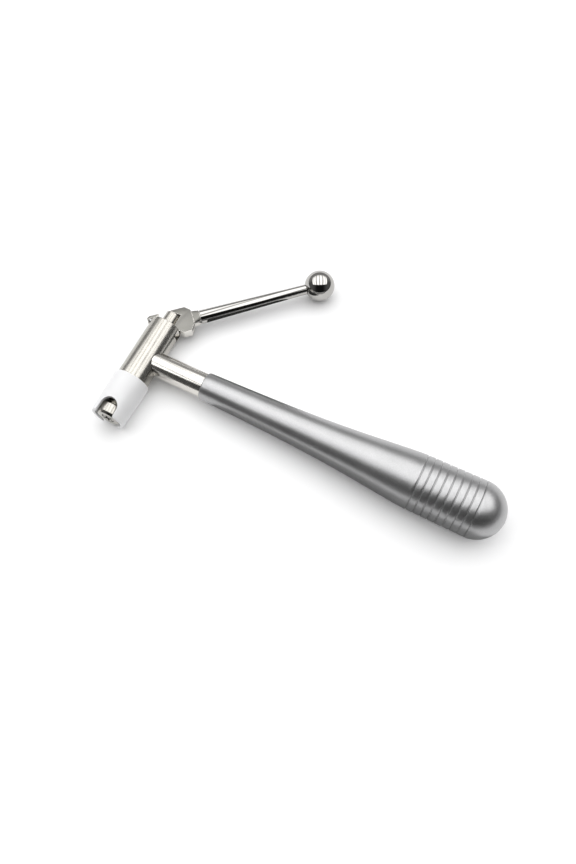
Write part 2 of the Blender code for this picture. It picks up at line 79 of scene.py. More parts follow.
# Grip.
GRIP_START, GRIP_TAPER_END = 30.2, 156.2
GRIP_RADII = (6.3, 6.6, 7.05, 7.65, 8.45, 9.5, 10.85, 12.1, 12.35, 12.5)
GROOVES, GROOVE_PITCH, GROOVE_MIDDLE = 9, 3.2, 143.2
GROOVE_WIDTH, GROOVE_DEPTH = 0.62, 0.36
NECK_RADIUS, NECK_START, NECK_END, NECK_SADDLE_GAP = 5.5, 4.0, 58.0, 0.12
SPIGOT_RADIUS, SPIGOT_END = 3.5, 78.0
STUD_RADIUS, STUD_END = 2.0, 21.5
GRIP_SCREW_X, GRIP_SCREW_HOLE = 70.0, 1.8

# Barrel.
BARREL_REAR, BARREL_RADIUS, BARREL_BORE = 18.6, 7.25, 5.0
BARREL_SHOULDER, BARREL_STEP, BARREL_FRONT = -19.4, -24.2, -29.0
STEP_RADIUS, THREAD_RADIUS, NOSE_BORE, NOSE_BORE_START = 5.6, 4.4, 3.0, -19.0
SLOT_HALF, SLOT_FRONT = 2.7, 14.5
RING_GROOVE_Y, RING_GROOVE_WIDTH, RING_GROOVE_RADIUS = -16.4, 2.0, 6.05
THREAD_PITCH, THREAD_DEPTH = 0.75, 0.4
BUSH_SCREW_Y, BUSH_SCREW_HOLE = 10.3, 1.2

# Sleeve, nut and collet.
SLEEVE_REAR, SLEEVE_REAR_RADIUS, SLEEVE_FRONT_RADIUS = -11.8, 8.15, 7.65
SLEEVE_FRONT_BORE, WINDOW_HALF_WIDTH, WINDOW_APEX = 6.1, 4.0, -24.8
NUT_RADIUS, NUT_FACE_RADIUS, NUT_REAR, NUT_FRONT, NUT_BEVEL = 5.75, 4.85, -26.8, -32.0, 1.1
COLLET_FACE_RADIUS, COLLET_HEAD_RADIUS, COLLET_BORE, CONE_GAP = 2.5, 3.3, 1.2, 0.35
COLLET_TAIL_RADIUS, COLLET_TAIL_END, COLLET_SLIT_END, COLLET_SLIT = 2.7, -21.0, -25.5, 0.65

# Plunger.
PLUNGER_RADIUS, PLUNGER_REAR, PLUNGER_FRONT, PLUNGER_SLOT = 3.5, 25.05, -2.0, (14.6, 18.9)
ROD_BORE, ROD_REAR = 2.2, 6.3

# Lever: s runs along the rod, n across it.
LEVER_ANGLE = math.radians(43.4)
LEVER_ZERO = Vector((-1.2, 26.04, 0))
PLATE_HALF = 2.4
# Side faces of the plate get painted sheen, partly a smoother finish.
STEEP = 0.7  # a plate face whose normal rises less than this is bright
PIVOT_S, PIVOT_N, PIN_RADIUS, EAR_RADIUS, EAR_THICK = -10.3, -2.3, 0.7, 1.75, 2.3
ROD_LINE_N, PLATE_END_S, BOSS_RISE_S, BOSS_END_S = -6.0, 8.2, 10.0, 11.6
ARM_START_RADIUS, ARM_END_RADIUS, ARM_SPIGOT_RADIUS = 3.2, 2.3, 1.7
BALL_RADIUS, BALL_S = 6.98, 68.7
POCKET_LEFT, POCKET_RIGHT, POCKET_FRONT, POCKET_REAR = -5.6, 3.85, 18.1, 25.35

ROUND = 128  # steps of a large turned piece


def lever_point(s, n, z=0.0):
    along = Vector((math.cos(LEVER_ANGLE), math.sin(LEVER_ANGLE), 0))
    across = Vector((-math.sin(LEVER_ANGLE), math.cos(LEVER_ANGLE), 0))
    return LEVER_ZERO + along * s + across * n + Vector((0, 0, z))


PIVOT = lever_point(PIVOT_S, PIVOT_N)
BALL_CENTRE = lever_point(BALL_S, ROD_LINE_N)
ROD_DIRECTION = (BALL_CENTRE - lever_point(0, ROD_LINE_N)).normalized()
ROD_ORIGIN = lever_point(0, ROD_LINE_N)


# ---------------------------------------------------------------- materials


SOCKETS = {
    "metallic": "Metallic", "rough": "Roughness", "specular": "Specular IOR Level",
    "glow": "Emission Strength", "coat": "Coat Weight", "coat_rough": "Coat Roughness",
    "subsurface": "Subsurface Weight", "subsurface_radius": "Subsurface Radius",
}


class Nodes:
    """Short calls for building one material's node tree."""

    def __init__(self, name):
        self.material = bpy.data.materials.new(name)
        self.material.use_nodes = True
        self.tree = self.material.node_tree
        self.shader = self.tree.nodes["Principled BSDF"]
        self.place = self.tree.nodes.new("ShaderNodeTexCoord").outputs["Object"]

    def link(self, source, target):
        self.tree.links.new(source, target)

    def scaled(self, scale, offset=(0, 0, 0)):
        """Object coordinates, stretched. Metres times scale."""
        mapping = self.tree.nodes.new("ShaderNodeMapping")
        mapping.inputs["Scale"].default_value = scale
        mapping.inputs["Location"].default_value = offset
        self.link(self.place, mapping.inputs["Vector"])
        return mapping.outputs["Vector"]

    def noise(self, vector, scale=1.0, detail=2.0, rough=0.5):
        texture = self.tree.nodes.new("ShaderNodeTexNoise")
        texture.inputs["Scale"].default_value = scale
        texture.inputs["Detail"].default_value = detail
        texture.inputs["Roughness"].default_value = rough
        self.link(vector, texture.inputs["Vector"])
        return texture.outputs["Fac"]

    def ramp(self, value, stops):
        node = self.tree.nodes.new("ShaderNodeValToRGB")
        while len(node.color_ramp.elements) < len(stops):
            node.color_ramp.elements.new(0.5)
        for element, (at, colour) in zip(node.color_ramp.elements, stops):
            element.position = at
            element.color = (*colour, 1) if len(colour) == 3 else colour
        self.link(value, node.inputs["Fac"])
        return node.outputs["Color"]

    def spread(self, value, low, high, start=0.0, end=1.0):
        node = self.tree.nodes.new("ShaderNodeMapRange")
        node.inputs["From Min"].default_value = start
        node.inputs["From Max"].default_value = end
        node.inputs["To Min"].default_value = low
        node.inputs["To Max"].default_value = high
        self.link(value, node.inputs["Value"])
        return node.outputs["Result"]

    def math(self, operation, first, second):
        node = self.tree.nodes.new("ShaderNodeMath")
        node.operation = operation
        for value, socket in ((first, node.inputs[0]), (second, node.inputs[1])):
            if isinstance(value, (int, float)):
                socket.default_value = value
            else:
                self.link(value, socket)
        return node.outputs["Value"]

    def bump(self, height, strength, distance, under=None):
        node = self.tree.nodes.new("ShaderNodeBump")
        node.inputs["Strength"].default_value = strength
        node.inputs["Distance"].default_value = distance
        self.link(height, node.inputs["Height"])
        if under is not None:
            self.link(under, node.inputs["Normal"])
        return node.outputs["Normal"]

    def set(self, **values):
        """Sets values on the shader's own sockets."""
        for name, value in values.items():
            self.shader.inputs[SOCKETS[name]].default_value = value


def metal(name, dark, light, rough, grain, bump, scratch=0.0, brushed=None):
    """A bare metal: mottled colour, uneven roughness, fine grain, and lathe or brush lines along one axis.

    Brushed gives the lines' density along each axis, per metre."""
    nodes = Nodes(name)
    nodes.set(metallic=1.0)
    cloud = nodes.noise(nodes.scaled((140, 140, 140)), 1.0, 4.0, 0.6)
    nodes.link(nodes.ramp(cloud, [(0.3, dark), (0.7, light)]), nodes.shader.inputs["Base Color"])
    fine = nodes.noise(nodes.scaled((grain,) * 3), 1.0, 3.0, 0.6)
    height = fine
    roughness = nodes.spread(nodes.math("ADD", cloud, fine), rough[0], rough[1], 0.7, 1.3)
    if brushed:
        lines = nodes.noise(nodes.scaled(brushed), 1.0, 2.0, 0.6)
        height = nodes.math("ADD", nodes.math("MULTIPLY", lines, 0.8), nodes.math("MULTIPLY", fine, 0.2))
        roughness = nodes.math("ADD", roughness, nodes.spread(lines, -0.03, 0.03, 0.3, 0.7))
    nodes.link(roughness, nodes.shader.inputs["Roughness"])
    normal = nodes.bump(height, bump, 0.00005)
    if scratch:
        marks = nodes.noise(nodes.scaled((90, 2600, 900), (3, 1, 2)), 1.0, 1.0, 0.5)
        thin = nodes.spread(marks, 0.0, 1.0, 0.66, 0.70)
        normal = nodes.bump(thin, scratch, 0.00003, normal)
    nodes.link(normal, nodes.shader.inputs["Normal"])
    return nodes.material


def white_plastic():
    nodes = Nodes("white_plastic")
    nodes.set(subsurface=0.7, subsurface_radius=(0.004,) * 3, coat=0.15, coat_rough=0.25)
    cloud = nodes.noise(nodes.scaled((90,) * 3), 1.0, 3.0)
    stops = [(0.3, (0.79, 0.79, 0.795)), (0.7, (0.83, 0.83, 0.835))]
    nodes.link(nodes.ramp(cloud, stops), nodes.shader.inputs["Base Color"])
    fine = nodes.noise(nodes.scaled((2600,) * 3), 1.0, 2.0)
    nodes.link(nodes.spread(fine, 0.32, 0.44, 0.3, 0.7), nodes.shader.inputs["Roughness"])
    nodes.link(nodes.bump(fine, 0.06, 0.00004), nodes.shader.inputs["Normal"])
    return nodes.material


def rubber():
    nodes = Nodes("black_rubber")
    fine = nodes.noise(nodes.scaled((1800,) * 3), 1.0, 3.0)
    nodes.link(nodes.ramp(fine, [(0.3, (0.02, 0.02, 0.02)), (0.7, (0.04, 0.04, 0.04))]),
               nodes.shader.inputs["Base Color"])
    nodes.link(nodes.spread(fine, 0.5, 0.75), nodes.shader.inputs["Roughness"])
    nodes.link(nodes.bump(fine, 0.2, 0.00005), nodes.shader.inputs["Normal"])
    return nodes.material


def anodised():
    """Bead-blasted aluminium under clear anodising."""
    nodes = Nodes("grip_aluminium")
    nodes.set(metallic=0.95, coat=0.06, coat_rough=0.3)
    cloud = nodes.noise(nodes.scaled((60,) * 3), 1.0, 4.0, 0.6)
    grain = nodes.noise(nodes.scaled((2300,) * 3), 1.0, 3.0, 0.7)
    mixed = nodes.math("ADD", nodes.math("MULTIPLY", cloud, 0.35), nodes.math("MULTIPLY", grain, 0.65))
    colour = nodes.ramp(mixed, [(0.32, (0.36, 0.36, 0.363)), (0.68, (0.47, 0.47, 0.473))])
    nodes.link(colour, nodes.shader.inputs["Base Color"])
    nodes.link(nodes.spread(mixed, 0.29, 0.40, 0.3, 0.7), nodes.shader.inputs["Roughness"])
    nodes.link(nodes.bump(grain, 0.22, 0.00006), nodes.shader.inputs["Normal"])
    return nodes.material


GRIP_METAL = anodised()
TURNED_STEEL = metal(
    "satin_steel", (0.41, 0.395, 0.365), (0.47, 0.455, 0.42), rough=(0.20, 0.26), grain=2200, bump=0.004,
    scratch=0.004, brushed=(20, 5200, 20),
)
DRAWN_STEEL = metal(
    "drawn_steel", (0.63, 0.61, 0.575), (0.72, 0.70, 0.66), rough=(0.15, 0.21), grain=1800, bump=0.006,
    scratch=0.005, brushed=(160, 4200, 4200),
)
MIRROR_STEEL = metal(
    "polished_steel", (0.41, 0.40, 0.385), (0.47, 0.46, 0.44), rough=(0.035, 0.07), grain=900, bump=0.012,
    scratch=0.02,
)
MILLED_STEEL = metal(
    "matt_steel", (0.22, 0.215, 0.20), (0.27, 0.265, 0.245), rough=(0.40, 0.52), grain=1500, bump=0.12,
    scratch=0.03, brushed=(3400, 260, 260),
)
# Brighter steel for the lever plate's sides and bevels: partly a smoother finish, partly painted sheen that
# stands in for light on the sides.
SIDE_SHEEN_STEEL = metal(
    "side_sheen_steel", (0.66, 0.64, 0.61), (0.74, 0.72, 0.68), rough=(0.16, 0.26), grain=2200, bump=0.05,
)
HARD_STEEL = metal(
    "hardware_steel", (0.34, 0.34, 0.34), (0.46, 0.46, 0.46), rough=(0.22, 0.34), grain=2600, bump=0.08,
)
BRONZE = metal("bronze", (0.50, 0.34, 0.15), (0.60, 0.43, 0.22), rough=(0.24, 0.36), grain=2200, bump=0.06)
WHITE = white_plastic()
RUBBER = rubber()


# ---------------------------------------------------------------- mesh tools


def rounded(corners, steps=5):
    """A profile of (along, radius[, fillet]) corners, with each fillet turned into an arc-like curve."""
    points = []
    count = len(corners)
    for i, corner in enumerate(corners):
        here = Vector(corner[:2])
        fillet = corner[2] if len(corner) > 2 else 0
        if not fillet:
            points.append((here.x, here.y))
            continue
        before = Vector(corners[i - 1][:2])
        after = Vector(corners[(i + 1) % count][:2])
        start = here + (before - here).normalized() * fillet
        end = here + (after - here).normalized() * fillet
        for k in range(steps + 1):
            t = k / steps
            bent = start * (1 - t) ** 2 + here * 2 * t * (1 - t) + end * t**2
            points.append((bent.x, bent.y))
    return points


def turned(profile, axis, steps=ROUND, origin=Vector((0, 0, 0)), closed=False):
    """Spins a profile of (along, radius) points round an axis."""
    side = Z_AXIS if abs(axis.z) < 0.5 else X_AXIS
    bm = bmesh.new()
    points = [bm.verts.new(origin + axis * along + side * max(radius, 0)) for along, radius in profile]
    for i in range(len(points) if closed else len(points) - 1):
        j = (i + 1) % len(points)
        if profile[i][1] > 0 or profile[j][1] > 0:
            bm.edges.new((points[i], points[j]))
    bmesh.ops.spin(
        bm, geom=bm.verts[:] + bm.edges[:], cent=origin, axis=axis, angle=2 * math.pi, steps=steps,
        use_merge=True,
    )
    bmesh.ops.remove_doubles(bm, verts=bm.verts, dist=0.0005)
    bmesh.ops.recalc_face_normals(bm, faces=bm.faces)
    return bm


def rod(start, end, radius, axis, steps=48, origin=Vector((0, 0, 0))):
    return turned([(start, 0), (start, radius), (end, radius), (end, 0)], axis, steps, origin)


def block(low, high):
    bm = bmesh.new()
    bmesh.ops.create_cube(bm, size=1)
    size = [b - a for a, b in zip(low, high)]
    bmesh.ops.scale(bm, vec=size, verts=bm.verts)
    bmesh.ops.translate(bm, vec=[(a + b) / 2 for a, b in zip(low, high)], verts=bm.verts)
    return bm


def extruded(outline, low, high):
    bm = bmesh.new()
    face = bm.faces.new([bm.verts.new((x, y, low)) for x, y in outline])
    grown = bmesh.ops.extrude_face_region(bm, geom=[face])
    raised = [item for item in grown["geom"] if isinstance(item, bmesh.types.BMVert)]
    bmesh.ops.translate(bm, vec=(0, 0, high - low), verts=raised)
    bmesh.ops.recalc_face_normals(bm, faces=bm.faces)
    return bm


def make(name, bm, *materials):
    """Turns a shape in millimetres about the hub into an object in metres."""
    mesh = bpy.data.meshes.new(name)
    bmesh.ops.scale(bm, vec=(MM, MM, MM), verts=bm.verts)
    bmesh.ops.translate(bm, vec=HUB, verts=bm.verts)
    bm.to_mesh(mesh)
    bm.free()
    piece = bpy.data.objects.new(name, mesh)
    bpy.context.scene.collection.objects.link(piece)
    for material in materials:
        mesh.materials.append(material)
    return piece


def apply(piece):
    """Bakes the modifiers into the mesh."""
    bpy.context.view_layer.update()
    graph = bpy.context.evaluated_depsgraph_get()
    mesh = bpy.data.meshes.new_from_object(piece.evaluated_get(graph))
    piece.modifiers.clear()
    piece.data = mesh


def combine(piece, bm, operation="DIFFERENCE"):
    other = make("tool_shape", bm)
    boolean = piece.modifiers.new("boolean", "BOOLEAN")
    boolean.operation = operation
    boolean.object = other
    apply(piece)
    bpy.data.objects.remove(other)


def soften(piece, width, segments=2, angle=35, material=-1):
    """Breaks the sharp edges after merging near-flat faces, so that flat faces stay flat."""
    mesh = piece.data
    bm = bmesh.new()
    bm.from_mesh(mesh)
    bmesh.ops.remove_doubles(bm, verts=bm.verts, dist=0.002 * MM)
    bmesh.ops.dissolve_limit(bm, angle_limit=math.radians(0.5), verts=bm.verts, edges=bm.edges)
    bm.to_mesh(mesh)
    bm.free()
    bevel = piece.modifiers.new("bevel", "BEVEL")
    bevel.width = width * MM
    bevel.segments = segments
    bevel.limit_method = "ANGLE"
    bevel.angle_limit = math.radians(angle)
    bevel.use_clamp_overlap = True
    bevel.harden_normals = False
    bevel.material = material
    apply(piece)


def finish_piece(piece, body, slot, *nodes, sharp=40):
    """Shades a piece, ties it to its body, and puts it in place of its CAD nodes."""
    piece.data.shade_smooth()
    piece.data.set_sharp_from_angle(angle=math.radians(sharp))
    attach(piece, body)
    if nodes:
        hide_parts(*nodes)
    return piece


# ---------------------------------------------------------------- grip and neck


def grip_radius(x):
    """Smooth curve through the taper's radii (Catmull-Rom)."""
    last = len(GRIP_RADII) - 1
    place = min(max((x - GRIP_START) * last / (GRIP_TAPER_END - GRIP_START), 0), last - 0.0001)
    i = int(place)
    t = place - i
    a, b, c, d = [GRIP_RADII[min(max(i + k, 0), last)] for k in (-1, 0, 1, 2)]
    cubic = 3 * (b - c) + d - a
    square = 2 * a - 5 * b + 4 * c - d
    return b + 0.5 * t * (c - a + t * (square + t * cubic))


def build_grip():
    first = GROOVE_MIDDLE - GROOVES // 2 * GROOVE_PITCH
    start = grip_radius(GRIP_START)
    profile = [
        (GRIP_START, start - 0.42), (GRIP_START + 0.08, start - 0.2), (GRIP_START + 0.25, start - 0.06),
    ]
    steps = 48
    for i in range(steps):
        x = GRIP_START + 0.5 + (first - GROOVE_PITCH / 2 - GRIP_START - 0.5) * i / (steps - 1)
        profile.append((x, grip_radius(x)))
    half = GROOVE_WIDTH / 2
    for i in range(GROOVES):
        x = first + i * GROOVE_PITCH
        r = grip_radius(x)
        for offset, depth in ((-1.25, 0), (-half - 0.14, 0), (-half - 0.03, 0.03), (-half + 0.06, 0.12),
                              (-0.12, GROOVE_DEPTH - 0.03), (0, GROOVE_DEPTH), (0.12, GROOVE_DEPTH - 0.03),
                              (half - 0.06, 0.12), (half + 0.03, 0.03), (half + 0.14, 0), (1.25, 0)):
            profile.append((x + offset, r - depth))
    end = GRIP_RADII[-1]
    arc = 28
    for i in range(arc + 1):
        turn = math.pi / 2 * i / arc
        profile.append((GRIP_TAPER_END + end * math.sin(turn), end * math.cos(turn) if i < arc else 0))
    bore, spigot = NECK_RADIUS + GAP, SPIGOT_RADIUS + GAP
    profile += [
        (SPIGOT_END + 2, 0), (SPIGOT_END + GAP, spigot), (NECK_END + GAP, spigot), (NECK_END + GAP, bore),
        (GRIP_START + 0.3, bore), (GRIP_START, bore + 0.2),
    ]
    grip = make("grip_shell", turned(profile, X_AXIS, 160, closed=True), GRIP_METAL)
    combine(grip, rod(-9, -3, GRIP_SCREW_HOLE, Z_AXIS, 32, Vector((GRIP_SCREW_X, 0, 0))))
    finish_piece(grip, "handle", "grip_aluminium", "grip_handle", sharp=50)


def build_neck():
    profile = [
        (NECK_START, 0), (NECK_START, NECK_RADIUS), (NECK_END, NECK_RADIUS, 0.3), (NECK_END, SPIGOT_RADIUS),
        (SPIGOT_END, SPIGOT_RADIUS, 0.8), (SPIGOT_END, 0),
    ]
    neck = make("neck", turned(rounded(profile), X_AXIS), DRAWN_STEEL)
    combine(neck, rod(-9, 9, BARREL_RADIUS + NECK_SADDLE_GAP, Y_AXIS, 192))
    combine(neck, rod(0, STUD_END + GAP, STUD_RADIUS + GAP, X_AXIS))
    finish_piece(neck, "handle", "polished_steel", "neck_bar")


# ---------------------------------------------------------------- barrel and nose


def thread_profile(start, end):
    """The crests and roots of the nose thread, and where the last crest is."""
    points = []
    root = THREAD_RADIUS - THREAD_DEPTH
    y = start
    while y - THREAD_PITCH > end:
        points += [(y, THREAD_RADIUS), (y - THREAD_PITCH * 0.45, root), (y - THREAD_PITCH * 0.55, root)]
        y -= THREAD_PITCH
    return points, y


def build_barrel():
    low, high = RING_GROOVE_Y - RING_GROOVE_WIDTH / 2, RING_GROOVE_Y + RING_GROOVE_WIDTH / 2
    root = THREAD_RADIUS - THREAD_DEPTH
    thread_start = BARREL_STEP - 0.6
    thread, last_crest = thread_profile(thread_start, BARREL_FRONT + 0.5)
    corners = [
        (BARREL_REAR, BARREL_BORE, 0.2), (BARREL_REAR, BARREL_RADIUS, 0.35), (high, BARREL_RADIUS, 0.1),
        (high, RING_GROOVE_RADIUS), (low, RING_GROOVE_RADIUS), (low, BARREL_RADIUS, 0.1),
        (BARREL_SHOULDER, BARREL_RADIUS, 0.3), (BARREL_SHOULDER, STEP_RADIUS),
        (BARREL_STEP, STEP_RADIUS, 0.3), (BARREL_STEP, root), (thread_start, root), *thread,
        (last_crest, THREAD_RADIUS), (BARREL_FRONT, THREAD_RADIUS, 0.3), (BARREL_FRONT, NOSE_BORE),
        (NOSE_BORE_START, NOSE_BORE), (NOSE_BORE_START, BARREL_BORE),
    ]
    tube = make("barrel_tube", turned(rounded(corners), Y_AXIS, closed=True), TURNED_STEEL)
    at_pivot = Vector((PIVOT.x, PIVOT.y, 0))
    combine(tube, rod(-SLOT_HALF - EAR_THICK, -SLOT_HALF, EAR_RADIUS, Z_AXIS, 64, at_pivot), "UNION")
    combine(tube, block((-12, SLOT_FRONT, -SLOT_HALF), (12, BARREL_REAR + 5, SLOT_HALF)))
    combine(tube, rod(-8, 0, PIN_RADIUS + GAP, Z_AXIS, 32, at_pivot))
    combine(tube, rod(3, 9, STUD_RADIUS + GAP, X_AXIS))
    combine(tube, rod(-9, -3.9, BUSH_SCREW_HOLE, Z_AXIS, 32, Vector((0, BUSH_SCREW_Y, 0))))
    finish_piece(tube, "handle", "satin_steel", "barrel", sharp=28)


def build_sleeve():
    bore, step = BARREL_RADIUS + GAP, BARREL_SHOULDER - GAP
    corners = [
        (SLEEVE_REAR, bore, 0.12), (SLEEVE_REAR, SLEEVE_REAR_RADIUS, 0.3), (-19.0, SLEEVE_REAR_RADIUS, 2.0),
        (SLEEVE_FRONT, SLEEVE_FRONT_RADIUS, 0.5), (SLEEVE_FRONT, SLEEVE_FRONT_BORE, 0.25),
        (step, SLEEVE_FRONT_BORE), (step, bore),
    ]
    sleeve = make("sleeve_shell", turned(rounded(corners, 8), Y_AXIS, closed=True), WHITE)
    centre = WINDOW_APEX - WINDOW_HALF_WIDTH
    outline = [(WINDOW_HALF_WIDTH, -40), (-WINDOW_HALF_WIDTH, -40)]
    for i in range(41):
        turn = math.pi - math.pi * i / 40
        outline.append((WINDOW_HALF_WIDTH * math.cos(turn), centre + WINDOW_HALF_WIDTH * math.sin(turn)))
    combine(sleeve, extruded(outline, -12, 12))
    soften(sleeve, 0.22, 3, 38)
    finish_piece(sleeve, "handle", "white_plastic", "nose_sleeve", sharp=50)


def build_nut():
    cone_rear = BARREL_FRONT - GAP
    corners = [
        (NUT_REAR, THREAD_RADIUS + GAP, 0.15), (NUT_REAR, NUT_RADIUS, 0.3),
        (NUT_FRONT + NUT_BEVEL, NUT_RADIUS, 0.12), (NUT_FRONT, NUT_FACE_RADIUS, 0.1),
        (NUT_FRONT, COLLET_FACE_RADIUS + CONE_GAP, 0.12), (cone_rear, COLLET_HEAD_RADIUS + CONE_GAP),
        (cone_rear, THREAD_RADIUS + GAP),
    ]
    nut = make("nose_nut", turned(rounded(corners), Y_AXIS, closed=True), TURNED_STEEL)
    finish_piece(nut, "nut", "satin_steel", "collet_nut", sharp=30)


def build_collet():
    head_rear = BARREL_FRONT - GAP
    corners = [
        (COLLET_TAIL_END, COLLET_BORE), (COLLET_TAIL_END, COLLET_TAIL_RADIUS, 0.2),
        (head_rear, COLLET_TAIL_RADIUS), (head_rear, COLLET_HEAD_RADIUS, 0.1),
        (NUT_FRONT, COLLET_FACE_RADIUS, 0.12), (NUT_FRONT, COLLET_BORE, 0.15),
    ]
    jaws = make("collet_jaws", turned(rounded(corners, 3), Y_AXIS, 96, closed=True), TURNED_STEEL)
    for i in range(3):
        slit = block((-COLLET_SLIT / 2, NUT_FRONT - 1, -5), (COLLET_SLIT / 2, COLLET_SLIT_END, 5))
        bmesh.ops.rotate(slit, verts=slit.verts, matrix=Matrix.Rotation(math.radians(60 * i), 3, "Y"))
        combine(jaws, slit)
    finish_piece(jaws, "plunger", "satin_steel", "collet", sharp=30)


def build_plunger():
    corners = [
        (PLUNGER_REAR, 0), (PLUNGER_REAR, PLUNGER_RADIUS, 0.4), (PLUNGER_FRONT, PLUNGER_RADIUS, 0.2),
        (PLUNGER_FRONT, ROD_BORE), (ROD_REAR, ROD_BORE), (ROD_REAR, 0),
    ]
    plunger = make("plunger_pin", turned(rounded(corners), Y_AXIS, 96), TURNED_STEEL)
    combine(plunger, block((-6, PLUNGER_SLOT[0], -SLOT_HALF), (6, PLUNGER_SLOT[1], SLOT_HALF)))
    finish_piece(plunger, "plunger", "satin_steel", "plunger", sharp=30)


# ---------------------------------------------------------------- lever


def lofted(sections, sides):
    """Skins a row of superellipse sections (s, half width, half height, power) on the rod's line."""
    bm = bmesh.new()
    rings = []
    for s, half_width, half_height, power in sections:
        ring = []
        for i in range(sides):
            turn = 2 * math.pi * (i + 0.5) / sides
            c, d = math.cos(turn), math.sin(turn)
            n = half_width * math.copysign(abs(c) ** (2 / power), c)
            z = half_height * math.copysign(abs(d) ** (2 / power), d)
            ring.append(bm.verts.new(lever_point(s, ROD_LINE_N + n, z)))
        rings.append(ring)
    for first, second in zip(rings, rings[1:]):
        for i in range(sides):
            j = (i + 1) % sides
            bm.faces.new((first[i], first[j], second[j], second[i]))
    bm.faces.new(rings[0])
    bm.faces.new(rings[-1][::-1])
    bmesh.ops.recalc_face_normals(bm, faces=bm.faces)
    return bm


def build_lever_head():
    """The plate, with its tongue on the left, the pocket round the plunger, and the boss for the rod."""
    outline = [
        (-11.7, -0.8), (-11.8, -3.7), (-10.9, -4.9), (-10.1, -5.3), (-1.7, -11.25), (0.3, -11.0),
        (2.6, -12.8), (6.2, -12.9), (8.2, -9.8), (8.2, -2.3), (5.8, 0.0), (-10.5, 0.0),
    ]
    points = [lever_point(s, n) for s, n in outline]
    plate = make("lever_plate", extruded([(p.x, p.y) for p in points], -PLATE_HALF, PLATE_HALF),
                 MILLED_STEEL, SIDE_SHEEN_STEEL)
    pocket = [
        (POCKET_LEFT, POCKET_FRONT), (POCKET_RIGHT, POCKET_FRONT), (POCKET_RIGHT, POCKET_REAR + 0.4),
        (0.3, POCKET_REAR), (-1.7, POCKET_REAR), (-1.7, 32), (POCKET_LEFT, 32),
    ]
    combine(plate, extruded(pocket, -4, 4))
    boss = [
        (6.4, 3.3, 1.2, 8), (PLATE_END_S, 3.4, 2.3, 6), (BOSS_RISE_S, 3.3, 2.9, 3),
        (BOSS_END_S, ARM_START_RADIUS, ARM_START_RADIUS, 2),
    ]
    combine(plate, lofted(boss, 64), "UNION")
    combine(plate, rod(9.0, BOSS_END_S + 1, ARM_SPIGOT_RADIUS + GAP, ROD_DIRECTION, 32, ROD_ORIGIN))
    combine(plate, rod(-4, 4, PIN_RADIUS + GAP, Z_AXIS, 32, Vector((PIVOT.x, PIVOT.y, 0))))
    soften(plate, 0.3, 2, 32, 1)
    # Painted sheen: faces that face neither up nor down get the brighter side steel, partly a smoother
    # finish.
    for face in plate.data.polygons:
        if abs(face.normal.z) < STEEP:
            face.material_index = 1
    finish_piece(plate, "lever", "matt_steel", "lever_head", sharp=24)


def build_lever_arm():
    seat = BALL_S - math.sqrt(BALL_RADIUS**2 - ARM_END_RADIUS**2) - 0.1
    corners = [
        (9.3, 0), (9.3, ARM_SPIGOT_RADIUS), (BOSS_END_S + 0.1, ARM_SPIGOT_RADIUS),
        (BOSS_END_S + 0.1, ARM_START_RADIUS, 0.15), (seat, ARM_END_RADIUS, 0.1), (seat, ARM_SPIGOT_RADIUS),
        (BALL_S - 1.5, ARM_SPIGOT_RADIUS), (BALL_S - 1.5, 0),
    ]
    arm = make("lever_arm", turned(rounded(corners), ROD_DIRECTION, 96, ROD_ORIGIN), MIRROR_STEEL)
    finish_piece(arm, "lever", "polished_steel", "lever_rod")


def build_ball():
    bore = ARM_SPIGOT_RADIUS + GAP
    opening = math.asin(bore / BALL_RADIUS)
    steps = 72
    profile = []
    for i in range(steps + 1):
        turn = opening + (math.pi - opening) * i / steps
        radius = BALL_RADIUS * math.sin(turn) if i < steps else 0
        profile.append((BALL_S - BALL_RADIUS * math.cos(turn), radius))
    profile += [(BALL_S - 1.2, 0), (BALL_S - 1.2, bore)]
    ball = make("ball", turned(profile, ROD_DIRECTION, ROUND, ROD_ORIGIN, closed=True), MIRROR_STEEL)
    finish_piece(ball, "lever", "polished_steel", "ball_knob")


build_grip()
build_neck()
build_barrel()
build_sleeve()
build_nut()
build_collet()
build_plunger()
build_lever_head()
build_lever_arm()
build_ball()

INNER = {
    HARD_STEEL: ("grip_set_screw", "neck_stud", "bush_screw", "return_spring", "push_rod", "spring_washer",
                 "collet_pusher", "pivot_pin"),
    BRONZE: ("rear_bush", "front_bush"),
    RUBBER: ("sleeve_o_ring",),
}
for material, names in INNER.items():
    for name in names:
        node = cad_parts[name]
        node.data.materials.clear()
        node.data.materials.append(material)


# ---------------------------------------------------------------- table, light and camera


def table():
    slope = Vector((-TABLE_SLOPE_X, -TABLE_SLOPE_Y, 1)).normalized()
    bm = bmesh.new()
    bmesh.ops.create_grid(bm, x_segments=8, y_segments=8, size=3)
    mesh = bpy.data.meshes.new("table_top")
    bm.to_mesh(mesh)
    bm.free()
    top = bpy.data.objects.new("table_top", mesh)
    bpy.context.scene.collection.objects.link(top)
    top.rotation_mode = "QUATERNION"
    top.rotation_quaternion = Z_AXIS.rotation_difference(slope)
    top.location = HUB + Vector((0, 0, TABLE_HEIGHT * MM))
    nodes = Nodes("table_white")
    cloud = nodes.noise(nodes.scaled((3, 3, 3)), 1.0, 2.0)
    stops = [(0.3, (0.93, 0.93, 0.935)), (0.7, (0.95, 0.95, 0.95))]
    nodes.link(nodes.ramp(cloud, stops), nodes.shader.inputs["Base Color"])
    nodes.set(rough=0.9, specular=0.1, glow=TABLE_GLOW)
    mesh.materials.append(nodes.material)


